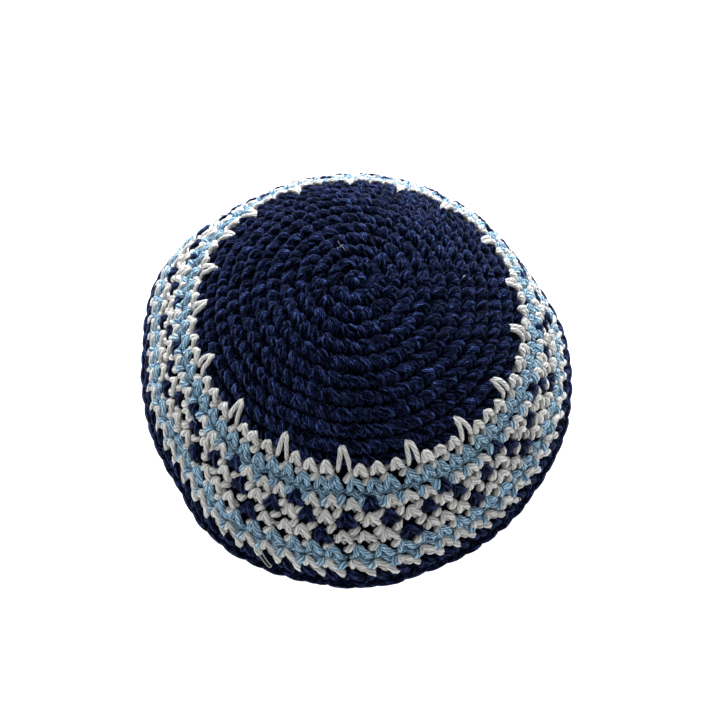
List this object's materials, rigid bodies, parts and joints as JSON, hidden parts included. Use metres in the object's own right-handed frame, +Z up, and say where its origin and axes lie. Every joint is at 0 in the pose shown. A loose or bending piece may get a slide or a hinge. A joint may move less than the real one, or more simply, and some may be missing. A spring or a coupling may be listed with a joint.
{
  "type": "crocheted skullcap",
  "caption": "Domed crocheted cotton skullcap: navy crown and edge, white and light-blue rounds with spike stitches and a small navy motif in the band.",
  "frame": {"origin": "the middle of the open rim's box, level with the edge that the cap stands on", "axes": "+Z up through the crown, -Y to the front, as the picture shows it"},
  "size_m": [0.1678, 0.1772, 0.0703],
  "materials": {
    "navy_cotton": "matt cotton yarn, crocheted",
    "white_cotton": "matt cotton yarn, crocheted",
    "blue_cotton": "matt cotton yarn, crocheted"
  },
  "bodies": {
    "root": {"crown": "navy_cotton", "spike_round": "white_cotton", "upper_blue_round": "blue_cotton", "motif_band": "white_cotton", "lower_blue_round": "blue_cotton", "white_round": "white_cotton", "edge_round": "navy_cotton"}
  },
  "joints": []
}
